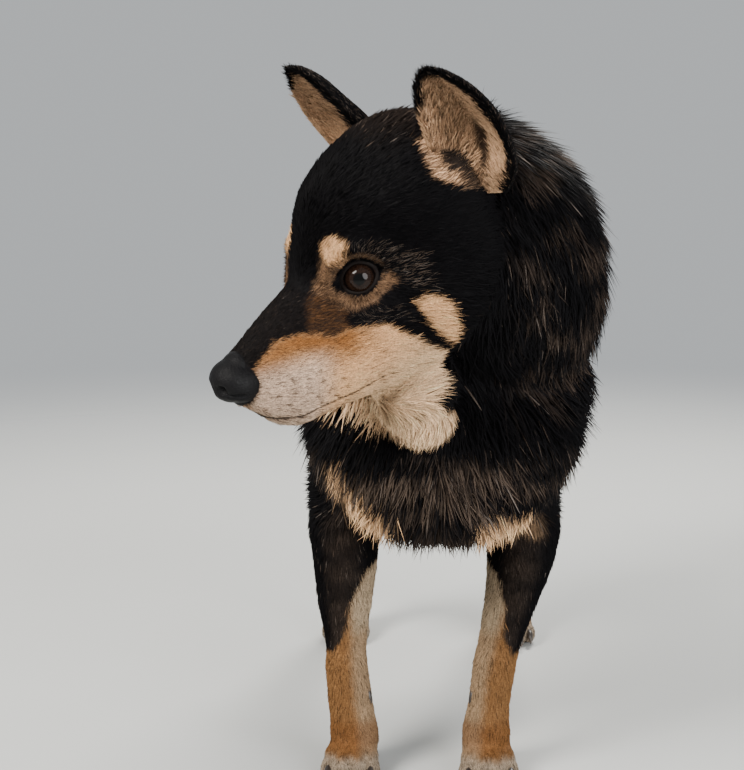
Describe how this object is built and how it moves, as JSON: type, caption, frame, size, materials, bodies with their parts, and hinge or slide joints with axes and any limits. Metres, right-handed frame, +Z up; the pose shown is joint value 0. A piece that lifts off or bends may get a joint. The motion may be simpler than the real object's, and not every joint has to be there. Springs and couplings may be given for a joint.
{
  "type": "shiba inu",
  "caption": "Life-size still model of a black-and-tan shiba inu, standing with its head turned to its right and its tail curled over its back.",
  "frame": {"origin": "on the floor, under the middle of the model's outer box", "axes": "+Z up, the dog stands facing -Y, its left side is +X"},
  "size_m": [0.2566, 0.5536, 0.4937],
  "materials": {
    "coat": "plush double coat, black with tan and cream marks",
    "tan_coat": "short tan and cream coat of the legs and paws",
    "nose": "matte pebbled black skin",
    "eye": "wet dark brown",
    "claw": "dark horn, satin",
    "pad": "rough dark paw pad"
  },
  "bodies": {
    "root": {"head": "coat", "lower_jaw": "tan_coat", "nose": "nose", "eye_left": "eye", "eye_right": "eye", "ear_left": "coat", "ear_right": "coat", "neck": "coat", "chest": "coat", "loin": "coat", "tail_base": "coat", "tail_curl": "coat", "tail_tip": "coat", "foreleg_left": "coat", "foreleg_right": "coat", "lower_foreleg_left": "tan_coat", "lower_foreleg_right": "tan_coat", "thigh_left": "coat", "thigh_right": "coat", "hind_leg_left": "tan_coat", "hind_leg_right": "tan_coat", "forepaw_left": "tan_coat", "forepaw_right": "tan_coat", "hind_paw_left": "tan_coat", "hind_paw_right": "tan_coat", "claw_forepaw_left_1": "claw", "claw_forepaw_left_2": "claw", "claw_forepaw_left_3": "claw", "claw_forepaw_left_4": "claw", "claw_forepaw_right_1": "claw", "claw_forepaw_right_2": "claw", "claw_forepaw_right_3": "claw", "claw_forepaw_right_4": "claw", "claw_hind_paw_left_1": "claw", "claw_hind_paw_left_2": "claw", "claw_hind_paw_left_3": "claw", "claw_hind_paw_left_4": "claw", "claw_hind_paw_right_1": "claw", "claw_hind_paw_right_2": "claw", "claw_hind_paw_right_3": "claw", "claw_hind_paw_right_4": "claw", "dewclaw_left": "claw", "dewclaw_right": "claw"}
  },
  "joints": []
}
